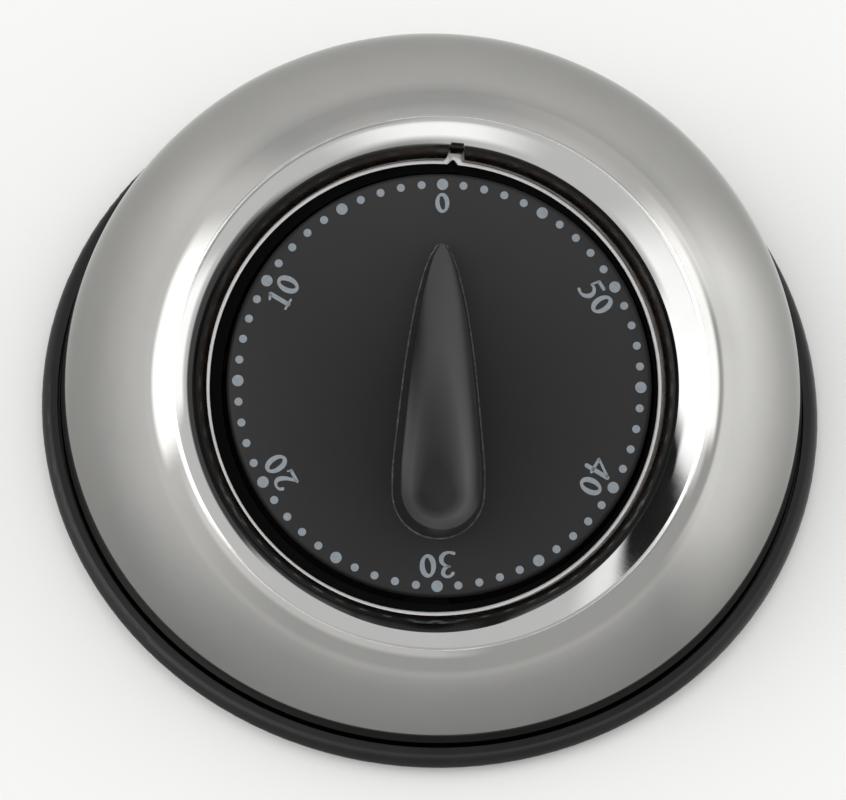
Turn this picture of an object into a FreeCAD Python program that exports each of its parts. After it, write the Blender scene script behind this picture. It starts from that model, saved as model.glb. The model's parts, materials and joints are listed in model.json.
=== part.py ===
import FreeCAD, Part
import math
import os

# Round mechanical kitchen timer, 60 minutes, with an inclined dial.
# Millimetres. +Z up, +Y to the back, -Y to the front; the origin is on the table under the base's centre.
# Everything on the dial axis is modelled upright in dial coordinates, whose Z runs along the dial axis
# from the centre of the spherical shell, and is then tilted towards the front.

Vec = FreeCAD.Vector

# ---- driving dimensions ----
BASE_RADIUS = 45.0
DIAL_TILT = 20.0
SHELL_RADIUS = 43.1
SHELL_SHEET = 0.5
SHELL_CENTRE_Z = -1.4
SHELL_FOOT_Z = 2.3
CREST_RADIUS = 3.9
WELL_RADIUS = 24.5
LIP_LEVEL = 24.0
LIP_REACH = 0.45
DIAL_FACE = 27.2
DIAL_PLATE = 1.8
DIAL_RADIUS = 22.7
DIAL_REST_TURN = 2.2
FIT = 0.05
SNUG = 0.02

# base
FOOT_GAP = 0.6
FLOOR_TOP = 2.0
RIM_TOP = 3.3
RIM_MID = 2.0
GROOVE = (42.15, 43.15)
GROOVE_FLOOR = 2.25
UPSTAND = (40.3, 41.7)
UPSTAND_TOP = 6.0
LEG_SPOTS = ((-26.0, -6.0), (26.0, -6.0), (0.0, -31.0), (0.0, 22.5))
LEG_RADIUS = 3.0
LEG_FOOT_Z = 5.2
SCREW_POCKET_TOP = 3.4
PAD_CIRCLE = 36.0
PAD_RADIUS = 4.0
PAD_RECESS = 0.5

# carrier that the shell's lip rests on and the movement hangs from
COLLAR = (23.4, 27.2)
COLLAR_LEVELS = (22.2, 23.45)
SKIRT = (23.4, 24.9)
DECK_LEVELS = (19.4, 20.6)
DECK_HOLE = 7.0
TOOTH_WIDTH = 1.3
TOOTH_TIP = 24.7
TOOTH_TOP = 23.9
NIB_WIDTHS = (2.1, 1.1)
NIB_TIP = 25.45
NIB_TOP = 25.3

# movement, in dial coordinates
PLATE_CENTRE = (0.0, 2.0)
PLATE_RADIUS = 20.2
PLATE_FLAT = -15.5
REAR_PLATE = (10.6, 11.6)
FRONT_PLATE = (17.6, 18.6)
PILLARS = ((-12.5, -10.0), (12.5, -10.0), (12.3, 14.0), (-15.5, 12.5))
PILLAR_RADIUS = 1.2
PLATE_SCREW_RADIUS = 0.6
ARBOR_RADIUS = 0.6
PIVOT_RADIUS = 0.4
MAIN_ARBOR_RADIUS = 2.0
MAIN_PIVOT_RADIUS = 1.5

# wheel train: (teeth, module), each wheel drives the next arbor's pinion
MAIN_WHEEL = (60, 0.35)
SECOND_PINION = (10, 0.35)
SECOND_WHEEL = (45, 0.25)
THIRD_PINION = (9, 0.25)
THIRD_WHEEL = (40, 0.25)
ESCAPE_PINION = (8, 0.25)
MAIN_LEVELS = (15.6, 16.6)
SECOND_LEVELS = (12.4, 13.0)
THIRD_LEVELS = (14.0, 14.6)
ESCAPE_LEVELS = (12.2, 12.8)
SECOND_DIRECTION = 150.0
THIRD_DIRECTION = 75.0
ESCAPE_DIRECTION = 0.0
ADDENDUM = 0.80
DEDENDUM = 1.15
TOOTH_SHARE = 0.44
TIP_SHARE = 0.20
ROOT_SHARE = 0.56
CROSSINGS = 5

# escapement
ESCAPE_TEETH = 15
ESCAPE_TIP = 4.0
ESCAPE_ROOT = 3.05
PALLET_DISTANCE = 6.5
PALLET_PIN_ANGLE = 36.0
PALLET_PIN_RADIUS = 0.22
PALLET_PIN_CIRCLE = ESCAPE_TIP + PALLET_PIN_RADIUS + 0.12
PALLET_LEVELS = (13.2, 13.7)
INERTIA_LEVELS = (14.3, 15.2)
INERTIA_REACH = 3.6

# stop, cam, hammer and bell
CAM_LEVELS = (16.95, 17.45)
CAM_RADIUS = 5.0
STOP_LEVELS = (18.7, 19.2)
STOP_CIRCLE = 6.0
STOP_LUG_ANGLE = 5.2
STOP_PIN_RADIUS = 0.3
STOP_TRAVEL = 348.0
SPRING_LEVELS = (13.3, 15.3)
SPRING_STRIP = 0.25
SPRING_PITCH = 0.62
SPRING_HALF_TURNS = 16
HAMMER_SPOT = (12.0, -5.0)
HAMMER_ARM_LEVELS = (9.6, 10.3)
HAMMER_HEAD = (14.55, 7.4)
HAMMER_HEAD_RADIUS = 0.8
HAMMER_HEAD_LOW = 4.6
HAMMER_SPRING_TIP = (7.3, -4.2)
HAMMER_SPRING_SHEET = 0.2
TRIP_ANGLE = -22.5
BELL_SPOT = (0.0, 5.0)
BELL_RADIUS = 13.0
BELL_LEVELS = (2.7, 6.3)
BELL_SHEET = 0.7

# knob, from the dial face up, tip towards the zero mark
GRIP_TIP = 14.85
GRIP_TIP_RADIUS = 1.05
GRIP_WAIST = (3.44, 3.0)
GRIP_WIDE = (4.77, -10.75)
GRIP_END = -16.3
GRIP_HEIGHT = 8.6
GRIP_TOP_SCALE = 0.74
GRIP_TOP_SLOPE = 9.0


# ---- helpers ----
def turned(point, degrees):
    """A point of the plane turned about its origin."""
    a = math.radians(degrees)
    x, y = point
    return (x * math.cos(a) - y * math.sin(a), x * math.sin(a) + y * math.cos(a))


def polar(radius, degrees, centre=(0.0, 0.0)):
    x, y = turned((radius, 0.0), degrees)
    return (centre[0] + x, centre[1] + y)


def rod(radius, low, high, centre=(0.0, 0.0)):
    return Part.makeCylinder(radius, high - low, Vec(centre[0], centre[1], low))


def tube(inner, outer, low, high, centre=(0.0, 0.0)):
    return rod(outer, low, high, centre).cut(rod(inner, low, high, centre))


def prism(points, low, high):
    """A straight solid on a closed outline of plane points."""
    corners = [Vec(x, y, low) for x, y in points]
    face = Part.Face(Part.makePolygon(corners + corners[:1]))
    return face.extrude(Vec(0, 0, high - low))


def bar(start, end, width, low, high):
    """A straight bar with round ends between two plane points."""
    length = math.dist(start, end)
    box = Part.makeBox(length, width, high - low, Vec(0, -width / 2, low))
    angle = math.degrees(math.atan2(end[1] - start[1], end[0] - start[0]))
    box.rotate(Vec(0, 0, 0), Vec(0, 0, 1), angle)
    box.translate(Vec(start[0], start[1], 0))
    return box.fuse([rod(width / 2, low, high, start), rod(width / 2, low, high, end)]).removeSplitter()


def revolved(edges):
    """A full turn about Z of a closed outline drawn in the XZ plane."""
    return Part.Face(Part.Wire(edges)).revolve(Vec(0, 0, 0), Vec(0, 0, 1), 360)


def line(start, end):
    return Part.LineSegment(Vec(start[0], 0, start[1]), Vec(end[0], 0, end[1])).toShape()


def arc(start, middle, end):
    ends = [Vec(p[0], 0, p[1]) for p in (start, middle, end)]
    return Part.Arc(*ends).toShape()


def tilted(shape):
    """From dial coordinates to the timer's own frame."""
    placed = shape.copy()
    placed.rotate(Vec(0, 0, 0), Vec(1, 0, 0), DIAL_TILT)
    placed.translate(Vec(0, 0, SHELL_CENTRE_Z))
    return placed


def with_rest_turn(shape):
    """The dial rests a little past its zero mark."""
    shape.rotate(Vec(0, 0, 0), Vec(0, 0, 1), DIAL_REST_TURN)
    return shape


def screw(radius, low, high, head_radius, head_height, centre, head_up=True):
    """A plain screw with a slotted cheese head, its shank between two levels."""
    if head_up:
        head = rod(head_radius, high, high + head_height, centre)
        slot_low = high + 0.55 * head_height
    else:
        head = rod(head_radius, low - head_height, low, centre)
        slot_low = low - head_height
    slot_size = (2 * head_radius, 0.3 * head_radius, 0.45 * head_height)
    slot = Part.makeBox(*slot_size, Vec(centre[0] - head_radius, centre[1] - slot_size[1] / 2, slot_low))
    return rod(radius, low, high, centre).fuse(head).cut(slot).removeSplitter()


# ---- gears ----
def pitch_radius(gear):
    return gear[0] * gear[1] / 2


def toothed(gear, levels, centre, phase):
    """A spur gear with straight-sided teeth; a tooth points at the phase angle."""
    teeth, module = gear
    step = 360.0 / teeth
    radius = pitch_radius(gear)
    tip, root = radius + ADDENDUM * module, radius - DEDENDUM * module
    corners = ((root, -ROOT_SHARE), (radius, -TOOTH_SHARE), (tip, -TIP_SHARE),
               (tip, TIP_SHARE), (radius, TOOTH_SHARE), (root, ROOT_SHARE))
    outline = []
    for tooth in range(teeth):
        for reach, share in corners:
            outline.append(polar(reach, phase + (tooth + share / 2) * step, centre))
    return prism(outline, *levels)


def meshed_phase(driver, driver_phase, driven, direction):
    """The phase of a driven gear that lies in a direction from its driver, tooth in gap."""
    share = (direction - driver_phase) * driver[0] / 360.0
    return direction + 180.0 - (0.5 - share) * 360.0 / driven[0]


def crossed(wheel, rim_radius, hub_radius, levels, centre, spoke):
    """A wheel with its web cut out between its spokes."""
    gap = tube(hub_radius, rim_radius, levels[0], levels[1], centre)
    for number in range(CROSSINGS):
        end = polar(rim_radius + 1.0, 360.0 * number / CROSSINGS, centre)
        gap = gap.cut(bar(centre, end, spoke, *levels))
    return wheel.cut(gap)


SECOND_SPOT = polar(pitch_radius(MAIN_WHEEL) + pitch_radius(SECOND_PINION), SECOND_DIRECTION)
THIRD_SPOT = polar(pitch_radius(SECOND_WHEEL) + pitch_radius(THIRD_PINION), THIRD_DIRECTION, SECOND_SPOT)
ESCAPE_SPOT = polar(pitch_radius(THIRD_WHEEL) + pitch_radius(ESCAPE_PINION), ESCAPE_DIRECTION, THIRD_SPOT)
PALLET_SPOT = (ESCAPE_SPOT[0] + PALLET_DISTANCE, ESCAPE_SPOT[1])
STAFF_SPOTS = (SECOND_SPOT, THIRD_SPOT, ESCAPE_SPOT, PALLET_SPOT)


def staff(centre):
    """An arbor between the plates, with a thinner pivot at each end."""
    body = rod(ARBOR_RADIUS, REAR_PLATE[1] + 0.15, FRONT_PLATE[0] - 0.15, centre)
    pivots = rod(PIVOT_RADIUS, REAR_PLATE[0] + 0.1, FRONT_PLATE[1] - 0.1, centre)
    return body.fuse(pivots).removeSplitter()


def pinion_staff(pinion, wheel_levels, centre, phase):
    levels = (wheel_levels[0] - 0.3, wheel_levels[1] + 0.3)
    return staff(centre).fuse(toothed(pinion, levels, centre, phase)).removeSplitter()


def train():
    """The arbors and wheels from the main wheel to the escape wheel."""
    main = toothed(MAIN_WHEEL, MAIN_LEVELS, (0.0, 0.0), 0.0)
    main = main.cut(rod(MAIN_ARBOR_RADIUS + SNUG, *MAIN_LEVELS))
    main = crossed(main, 9.0, 4.6, MAIN_LEVELS, (0.0, 0.0), 1.8)
    phase = meshed_phase(MAIN_WHEEL, 0.0, SECOND_PINION, SECOND_DIRECTION)
    parts = {"main_wheel": main}
    parts["second_arbor"] = pinion_staff(SECOND_PINION, MAIN_LEVELS, SECOND_SPOT, phase)
    stages = (("second_wheel", SECOND_WHEEL, SECOND_LEVELS, SECOND_SPOT,
               "third_arbor", THIRD_PINION, THIRD_DIRECTION, THIRD_SPOT),
              ("third_wheel", THIRD_WHEEL, THIRD_LEVELS, THIRD_SPOT,
               "escape_arbor", ESCAPE_PINION, ESCAPE_DIRECTION, ESCAPE_SPOT))
    for name, gear, levels, spot, next_name, pinion, direction, next_spot in stages:
        wheel = toothed(gear, levels, spot, 0.0).cut(rod(ARBOR_RADIUS + SNUG, *levels, spot))
        parts[name] = crossed(wheel, pitch_radius(gear) - 1.1, 1.7, levels, spot, 0.8)
        phase = meshed_phase(gear, 0.0, pinion, direction)
        parts[next_name] = pinion_staff(pinion, levels, next_spot, phase)
    return parts


def escape_wheel():
    """Fifteen pointed teeth that lean the way the wheel turns."""
    step = 360.0 / ESCAPE_TEETH
    outline = []
    for tooth in range(ESCAPE_TEETH):
        outline.append(polar(ESCAPE_ROOT, (tooth - 0.22) * step, ESCAPE_SPOT))
        outline.append(polar(ESCAPE_TIP, (tooth - 0.05) * step, ESCAPE_SPOT))
        outline.append(polar(ESCAPE_TIP, (tooth + 0.03) * step, ESCAPE_SPOT))
        outline.append(polar(ESCAPE_ROOT, (tooth + 0.12) * step, ESCAPE_SPOT))
    wheel = prism(outline, *ESCAPE_LEVELS).cut(rod(ARBOR_RADIUS + SNUG, *ESCAPE_LEVELS, ESCAPE_SPOT))
    return crossed(wheel, 2.5, 1.2, ESCAPE_LEVELS, ESCAPE_SPOT, 0.6)


def pallet_pin_spots():
    return [polar(PALLET_PIN_CIRCLE, side * PALLET_PIN_ANGLE, ESCAPE_SPOT) for side in (-1, 1)]


def pallet_lever():
    """A forked lever on its staff that carries the two pins."""
    lever = rod(1.3, *PALLET_LEVELS, PALLET_SPOT)
    for spot in pallet_pin_spots():
        lever = lever.fuse(bar(PALLET_SPOT, spot, 0.9, *PALLET_LEVELS))
        lever = lever.cut(rod(PALLET_PIN_RADIUS, *PALLET_LEVELS, spot))
    return lever.cut(rod(ARBOR_RADIUS + SNUG, *PALLET_LEVELS, PALLET_SPOT)).removeSplitter()


def pallet_pins():
    return Part.makeCompound([rod(PALLET_PIN_RADIUS, ESCAPE_LEVELS[0], PALLET_LEVELS[1], spot)
                              for spot in pallet_pin_spots()])


def inertia_bar():
    """A bar with a round weight at each end, which slows the pallet lever."""
    ends = [(PALLET_SPOT[0] + side * INERTIA_REACH, PALLET_SPOT[1]) for side in (-1, 1)]
    weight = bar(*ends, 1.0, *INERTIA_LEVELS)
    weight = weight.fuse([rod(1.2, *INERTIA_LEVELS, end) for end in ends])
    weight = weight.fuse(rod(1.3, *INERTIA_LEVELS, PALLET_SPOT))
    return weight.cut(rod(ARBOR_RADIUS + SNUG, *INERTIA_LEVELS, PALLET_SPOT)).removeSplitter()


# ---- case ----
def base():
    """The black moulded base: a floor, a slim rounded rim, a groove for the shell's foot and four bosses."""
    bottom_edge = (BASE_RADIUS - 2.2, FOOT_GAP)
    top_edge = (BASE_RADIUS - 1.1, RIM_TOP)
    outline = [(GROOVE[1], RIM_TOP), (GROOVE[1], GROOVE_FLOOR), (GROOVE[0], GROOVE_FLOOR),
               (GROOVE[0], UPSTAND_TOP - 2.0), (UPSTAND[1], UPSTAND_TOP), (UPSTAND[0], UPSTAND_TOP),
               (UPSTAND[0], FLOOR_TOP), (0.0, FLOOR_TOP), (0.0, FOOT_GAP), bottom_edge]
    edges = [line(a, b) for a, b in zip(outline, outline[1:])]
    edges.append(arc(bottom_edge, (BASE_RADIUS - 0.7, FOOT_GAP + 0.5), (BASE_RADIUS, RIM_MID)))
    edges.append(arc((BASE_RADIUS, RIM_MID), (BASE_RADIUS - 0.32, RIM_TOP - 0.38), top_edge))
    edges.append(line(top_edge, outline[0]))
    body = revolved(edges)
    bosses = [rod(LEG_RADIUS + 0.9, FLOOR_TOP - 0.5, LEG_FOOT_Z, spot) for spot in LEG_SPOTS]
    body = body.fuse(bosses)
    for spot in LEG_SPOTS:
        body = body.cut(rod(2.8, FOOT_GAP, SCREW_POCKET_TOP, spot))
        body = body.cut(rod(1.3, SCREW_POCKET_TOP, LEG_FOOT_Z, spot))
    for spot in pad_spots():
        body = body.cut(rod(PAD_RADIUS + FIT, FOOT_GAP, FOOT_GAP + PAD_RECESS, spot))
    return body.cut(rod(1.05, FOOT_GAP, FLOOR_TOP, BELL_SPOT)).removeSplitter()


def pad_spots():
    return [polar(PAD_CIRCLE, angle) for angle in (45, 135, 225, 315)]


def foot_pads():
    pads = []
    for spot in pad_spots():
        pad = rod(PAD_RADIUS, 0.0, FOOT_GAP + PAD_RECESS, spot)
        pads.append(pad.makeFillet(0.25, [edge for edge in pad.Edges if edge.BoundBox.ZMax < 0.01]))
    return Part.makeCompound(pads)


def base_screws():
    return Part.makeCompound([screw(1.2, SCREW_POCKET_TOP, LEG_FOOT_Z + 3.6, 2.5, 1.4, spot, head_up=False)
                              for spot in LEG_SPOTS])


def dome_shell():
    """The polished steel cover: a sphere that rolls over a crest into a round well with a thin lip."""
    crest_distance = SHELL_RADIUS - CREST_RADIUS
    crest_r = WELL_RADIUS + CREST_RADIUS
    crest_w = math.sqrt(crest_distance ** 2 - crest_r ** 2)
    crest_angle = math.degrees(math.atan2(crest_w, crest_r))
    inner_crest = CREST_RADIUS - SHELL_SHEET
    inner_sphere = SHELL_RADIUS - SHELL_SHEET
    low_angle = -30.0
    mid_angle = (low_angle + crest_angle) / 2
    crest = (crest_r, crest_w)
    lip_edge = WELL_RADIUS - LIP_REACH
    back_wall = WELL_RADIUS + SHELL_SHEET
    edges = [
        arc(polar(SHELL_RADIUS, low_angle), polar(SHELL_RADIUS, mid_angle), polar(SHELL_RADIUS, crest_angle)),
        arc(polar(SHELL_RADIUS, crest_angle), polar(CREST_RADIUS, 110, crest), polar(CREST_RADIUS, 180, crest)),
        line(polar(CREST_RADIUS, 180, crest), (WELL_RADIUS, LIP_LEVEL)),
        line((WELL_RADIUS, LIP_LEVEL), (lip_edge, LIP_LEVEL)),
        line((lip_edge, LIP_LEVEL), (lip_edge, LIP_LEVEL - SHELL_SHEET)),
        line((lip_edge, LIP_LEVEL - SHELL_SHEET), (back_wall, LIP_LEVEL - SHELL_SHEET)),
        line((back_wall, LIP_LEVEL - SHELL_SHEET), polar(inner_crest, 180, crest)),
        arc(polar(inner_crest, 180, crest), polar(inner_crest, 110, crest), polar(inner_sphere, crest_angle)),
        arc(polar(inner_sphere, crest_angle), polar(inner_sphere, mid_angle), polar(inner_sphere, low_angle)),
        line(polar(inner_sphere, low_angle), polar(SHELL_RADIUS, low_angle)),
    ]
    half_low, half_high = NIB_WIDTHS[0] / 2, NIB_WIDTHS[1] / 2
    nib = prism([(-half_low, lip_edge - 1.0), (half_low, lip_edge - 1.0), (half_high, NIB_TIP),
                 (-half_high, NIB_TIP)], LIP_LEVEL - 1.0, NIB_TOP)
    shell = tilted(revolved(edges).cut(nib))
    below = Part.makeBox(200, 200, 100, Vec(-100, -100, SHELL_FOOT_Z - 100))
    return shell.cut(below)


def dial_carrier():
    """The black inner moulding: the ring seen inside the lip, a deck, and four legs that reach the base."""
    ring = tube(COLLAR[0], COLLAR[1], *COLLAR_LEVELS)
    skirt = tube(SKIRT[0], SKIRT[1], DECK_LEVELS[0], COLLAR_LEVELS[1])
    deck = tube(DECK_HOLE, SKIRT[1], *DECK_LEVELS)
    tab = Part.makeBox(8.0, 11.0, COLLAR_LEVELS[1] - COLLAR_LEVELS[0], Vec(-4.0, 24.0, COLLAR_LEVELS[0]))
    half = TOOTH_WIDTH / 2
    tooth = prism([(-half, COLLAR[0]), (half, COLLAR[0]), (0.12, TOOTH_TIP), (-0.12, TOOTH_TIP)],
                  COLLAR_LEVELS[1], TOOTH_TOP)
    spacers = [tube(0.8, 1.8, FRONT_PLATE[1], DECK_LEVELS[0], spot) for spot in movement_screw_spots()]
    body = ring.fuse([skirt, deck, tab, tooth] + spacers)
    for spot in movement_screw_spots():
        body = body.cut(rod(0.8, *DECK_LEVELS, spot))
    body = tilted(body)
    legs = []
    for spot in LEG_SPOTS:
        leg = rod(LEG_RADIUS, LEG_FOOT_Z, 40.0, spot)
        legs.append(leg.common(tilted(rod(60.0, -20.0, COLLAR_LEVELS[0] + 0.2))))
    body = body.fuse(legs)
    for spot in LEG_SPOTS:
        body = body.cut(rod(1.25, LEG_FOOT_Z, LEG_FOOT_Z + 4.0, spot))
    return body.removeSplitter()


# ---- dial ----
def dial_disc():
    """The dial: a flat face with a small edge rounding, a skirt, and a hub for the arbor."""
    plate = rod(DIAL_RADIUS, 22.6, DIAL_FACE)
    plate = plate.makeFillet(0.5, [edge for edge in plate.Edges if edge.BoundBox.ZMin > DIAL_FACE - 0.01])
    plate = plate.cut(rod(DIAL_RADIUS - 1.4, 22.6, DIAL_FACE - DIAL_PLATE))
    plate = plate.fuse(rod(4.6, 21.3, DIAL_FACE - DIAL_PLATE))
    plate = plate.cut(rod(MAIN_ARBOR_RADIUS + SNUG, 21.3, DIAL_FACE - 0.6))
    for spot in grip_screw_spots():
        plate = plate.cut(rod(0.9, DIAL_FACE - DIAL_PLATE, DIAL_FACE, spot))
    return with_rest_turn(plate.removeSplitter())


def grip_screw_spots():
    return ((0.0, 8.0), (0.0, -10.0))


def grip_outline(scale, level):
    """The knob's plan: a rounded tip, bulging flanks and a round wide end."""
    def at(x, y):
        return Vec(x * scale, y * scale, level)

    shoulder = (GRIP_TIP_RADIUS, GRIP_TIP - GRIP_TIP_RADIUS + 0.1)
    arcs = (((-shoulder[0], shoulder[1]), (0.0, GRIP_TIP), shoulder),
            (shoulder, GRIP_WAIST, GRIP_WIDE),
            (GRIP_WIDE, (0.0, GRIP_END), (-GRIP_WIDE[0], GRIP_WIDE[1])),
            ((-GRIP_WIDE[0], GRIP_WIDE[1]), (-GRIP_WAIST[0], GRIP_WAIST[1]), (-shoulder[0], shoulder[1])))
    return Part.Wire([Part.Arc(*[at(*point) for point in points]).toShape() for points in arcs])


def knob_grip():
    """The teardrop grip, drafted inwards and lower towards its tip."""
    wires = [grip_outline(1.0, DIAL_FACE), grip_outline(GRIP_TOP_SCALE, DIAL_FACE + GRIP_HEIGHT)]
    grip = Part.makeLoft(wires, True, True)
    cutter = Part.makeBox(40.0, 60.0, 20.0, Vec(-20.0, -30.0, 0.0))
    cutter.rotate(Vec(0, 0, 0), Vec(1, 0, 0), -GRIP_TOP_SLOPE)
    cutter.translate(Vec(0, -10.0, DIAL_FACE + GRIP_HEIGHT - 0.8))
    grip = grip.cut(cutter)
    top = [edge for edge in grip.Edges if edge.BoundBox.ZMin > DIAL_FACE + 3.0]
    grip = grip.makeFillet(0.4, top)
    for spot in grip_screw_spots():
        grip = grip.cut(rod(0.6, DIAL_FACE, DIAL_FACE + 3.2, spot))
    return with_rest_turn(grip)


def grip_screws():
    screws = [screw(0.58, DIAL_FACE - DIAL_PLATE, DIAL_FACE + 3.0, 1.2, 0.8, spot, head_up=False)
              for spot in grip_screw_spots()]
    return with_rest_turn(Part.makeCompound(screws))


def main_arbor():
    arbor = rod(MAIN_ARBOR_RADIUS, REAR_PLATE[1] + 0.2, DIAL_FACE - 0.7)
    return arbor.fuse(rod(MAIN_PIVOT_RADIUS, REAR_PLATE[0] - 0.5, REAR_PLATE[1] + 0.2)).removeSplitter()


def arbor_clip():
    """A snap ring on the arbor's rear end."""
    clip = tube(MAIN_PIVOT_RADIUS + SNUG, 2.5, REAR_PLATE[0] - 0.45, REAR_PLATE[0] - 0.05)
    return clip.cut(Part.makeBox(2.0, 3.0, 1.0, Vec(-1.0, 0.0, REAR_PLATE[0] - 0.7)))


def clutch_spring():
    """A dished star washer that lets the arbor slip in the main wheel when the dial is set."""
    washer = tube(MAIN_ARBOR_RADIUS + SNUG, 3.2, MAIN_LEVELS[1] + 0.05, MAIN_LEVELS[1] + 0.25)
    arms = [bar(polar(3.0, angle), polar(4.4, angle), 1.0, MAIN_LEVELS[1] + 0.05, MAIN_LEVELS[1] + 0.25)
            for angle in (0, 120, 240)]
    return washer.fuse(arms).removeSplitter()


def trip_cam():
    """The cam whose notch lets the hammer's tail fall at zero."""
    cam = tube(MAIN_ARBOR_RADIUS + SNUG, CAM_RADIUS, *CAM_LEVELS)
    notch = bar(polar(CAM_RADIUS - 0.4, TRIP_ANGLE), polar(CAM_RADIUS + 2.0, TRIP_ANGLE), 1.6, *CAM_LEVELS)
    return cam.cut(notch)


def stop_arm():
    """The arm on the arbor that meets the stop pin at both ends of the dial's travel."""
    half = math.radians(STOP_LUG_ANGLE / 2)
    tip, root = STOP_CIRCLE + 0.6, MAIN_ARBOR_RADIUS + 0.6
    half_width = STOP_CIRCLE * math.tan(half)
    lug = prism([(root, -half_width), (tip, -half_width), (tip, half_width), (root, half_width)], *STOP_LEVELS)
    hub = tube(MAIN_ARBOR_RADIUS + SNUG, 3.4, *STOP_LEVELS)
    return hub.fuse(lug).removeSplitter()


def stop_pin():
    middle = (360.0 - STOP_TRAVEL) / 2
    return rod(STOP_PIN_RADIUS, FRONT_PLATE[1], STOP_LEVELS[1], polar(STOP_CIRCLE, middle))


# ---- movement frame ----
def movement_screw_spots():
    return [polar(15.0, angle, PLATE_CENTRE) for angle in (-35, 90, 195)]


def plate(levels, main_hole):
    """A round plate with one flat side, bored for every arbor and pillar."""
    body = rod(PLATE_RADIUS, *levels, PLATE_CENTRE)
    body = body.cut(Part.makeBox(60, 30, 30, Vec(-30, PLATE_FLAT - 30, levels[0] - 10)))
    body = body.cut(rod(main_hole + FIT, *levels))
    for spot in STAFF_SPOTS:
        body = body.cut(rod(PIVOT_RADIUS + FIT, *levels, spot))
    for spot in PILLARS:
        body = body.cut(rod(PLATE_SCREW_RADIUS + FIT, *levels, spot))
    return body.cut(rod(ARBOR_RADIUS + FIT, *levels, HAMMER_SPOT))


def front_plate():
    body = plate(FRONT_PLATE, MAIN_ARBOR_RADIUS)
    for spot in movement_screw_spots():
        body = body.cut(rod(0.62, *FRONT_PLATE, spot))
    return body


def rear_plate():
    return plate(REAR_PLATE, MAIN_PIVOT_RADIUS)


def pillars():
    return Part.makeCompound([tube(PLATE_SCREW_RADIUS, PILLAR_RADIUS, REAR_PLATE[1], FRONT_PLATE[0], spot)
                              for spot in PILLARS])


def plate_screws():
    """One screw through each pillar from the front plate, with its end flush in the rear plate."""
    return Part.makeCompound([screw(PLATE_SCREW_RADIUS - SNUG, REAR_PLATE[0], FRONT_PLATE[1], 1.1, 0.6, spot)
                              for spot in PILLARS])


def movement_screws():
    return Part.makeCompound([screw(0.6, FRONT_PLATE[0] + 0.1, DECK_LEVELS[1], 1.4, 0.8, spot)
                              for spot in movement_screw_spots()])


def mainspring():
    """A flat spiral strip round the arbor, made of half turns on two centres."""
    inner_radius = MAIN_ARBOR_RADIUS + 0.3
    grow = SPRING_PITCH / 2
    halves = []
    for number in range(SPRING_HALF_TURNS):
        radius = inner_radius + number * grow
        back_half = number % 2 == 0
        centre = (0.0, 0.0) if back_half else (grow, 0.0)
        half = tube(radius, radius + SPRING_STRIP, *SPRING_LEVELS, centre)
        keep = Part.makeBox(60, 30, 30, Vec(-30, 0 if back_half else -30, 0))
        halves.append(half.common(keep))
    return halves[0].fuse(halves[1:]).removeSplitter()


# ---- striking work ----
def hammer_staff():
    low, high = HAMMER_ARM_LEVELS[0] - 0.2, FRONT_PLATE[1] - 0.1
    return rod(ARBOR_RADIUS, low, high, HAMMER_SPOT)


def hammer_arm():
    """The arm behind the rear plate, from the staff to above the bell's side."""
    arm = bar(HAMMER_SPOT, HAMMER_HEAD, 1.8, *HAMMER_ARM_LEVELS)
    arm = arm.cut(rod(ARBOR_RADIUS + SNUG, *HAMMER_ARM_LEVELS, HAMMER_SPOT))
    return arm.cut(rod(0.5, *HAMMER_ARM_LEVELS, HAMMER_HEAD))


def hammer_head():
    head = rod(HAMMER_HEAD_RADIUS, HAMMER_HEAD_LOW, HAMMER_ARM_LEVELS[0] - 0.02, HAMMER_HEAD)
    return head.fuse(rod(0.48, HAMMER_ARM_LEVELS[0] - 0.02, HAMMER_ARM_LEVELS[1], HAMMER_HEAD))


def hammer_tail():
    """The finger that rides just outside the trip cam."""
    tip = polar(CAM_RADIUS + 0.75, TRIP_ANGLE)
    tail = bar(HAMMER_SPOT, tip, 0.9, *CAM_LEVELS)
    return tail.cut(rod(ARBOR_RADIUS + SNUG, *CAM_LEVELS, HAMMER_SPOT))


def hammer_spring():
    """A leaf spring clamped at the near pillar, with its free end just short of the hammer's tail."""
    start = (PILLARS[1][0] - PILLAR_RADIUS - 0.1, PILLARS[1][1] + 0.2)
    return bar(start, HAMMER_SPRING_TIP, HAMMER_SPRING_SHEET, *CAM_LEVELS)


def bell():
    """A shallow steel cup, mouth down, that stands on a post."""
    low, high = BELL_LEVELS
    cup = rod(BELL_RADIUS, low, high)
    cup = cup.makeFillet(1.0, [edge for edge in cup.Edges if edge.BoundBox.ZMin > high - 0.01])
    hollow = rod(BELL_RADIUS - BELL_SHEET, low, high - BELL_SHEET)
    hollow = hollow.makeFillet(0.6, [edge for edge in hollow.Edges if edge.BoundBox.ZMin > high - BELL_SHEET - 0.01])
    cup = cup.cut(hollow).cut(rod(1.05, low, high))
    cup.translate(Vec(BELL_SPOT[0], BELL_SPOT[1], 0))
    return cup


def bell_post():
    return tube(1.05, 2.2, FLOOR_TOP, BELL_LEVELS[1] - BELL_SHEET, BELL_SPOT)


def bell_screw():
    return screw(1.0, FOOT_GAP + 0.2, BELL_LEVELS[1], 2.0, 1.0, BELL_SPOT)


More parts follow.
